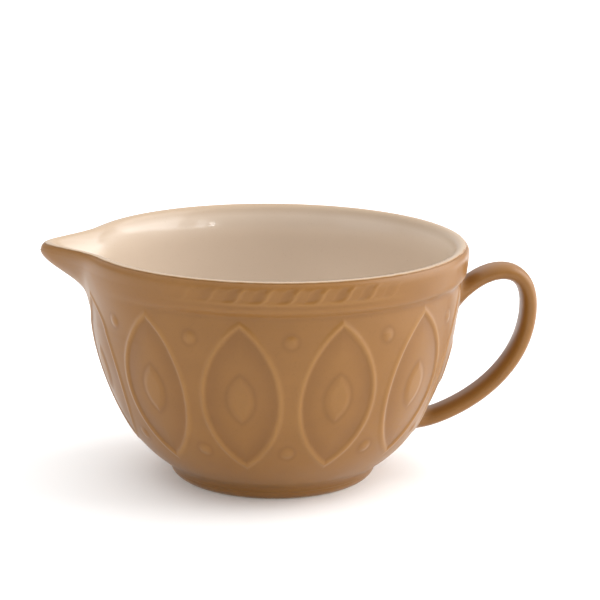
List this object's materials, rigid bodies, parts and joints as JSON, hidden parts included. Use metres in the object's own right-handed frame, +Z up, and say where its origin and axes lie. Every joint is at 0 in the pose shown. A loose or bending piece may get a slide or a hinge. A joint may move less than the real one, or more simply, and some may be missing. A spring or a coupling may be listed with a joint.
{
  "type": "batter bowl",
  "caption": "Round mixing bowl on a foot ring with a broad collared rim, a moulded petal relief, a pouring lip on one side and an ear-shaped strap handle opposite",
  "frame": {"origin": "Centre of the foot ring's flat resting face, on the bowl's axis, so z is 0 on the table.", "axes": "+Z is up along the bowl's axis. +X points from the axis to the handle and -X to the pouring lip, so X is the longest extent. +Y completes a right-handed frame and is the side away from the picture's camera."},
  "size_m": [0.2855, 0.2232, 0.1365],
  "materials": {
    "cane_glaze": "glossy transparent tan glaze over fired clay",
    "cream_glaze": "glossy cream glaze",
    "bare_clay": "matt unglazed fired clay"
  },
  "bodies": {
    "root": {"bowl_wall": "cane_glaze", "foot_ring": "bare_clay", "cream_lining": "cream_glaze", "pouring_lip": "cane_glaze", "lip_lining": "cream_glaze", "strap_handle": "cane_glaze", "upper_handle_joint": "cane_glaze", "lower_handle_joint": "cane_glaze", "rope_band": "cane_glaze", "petal_relief": "cane_glaze"}
  },
  "joints": []
}
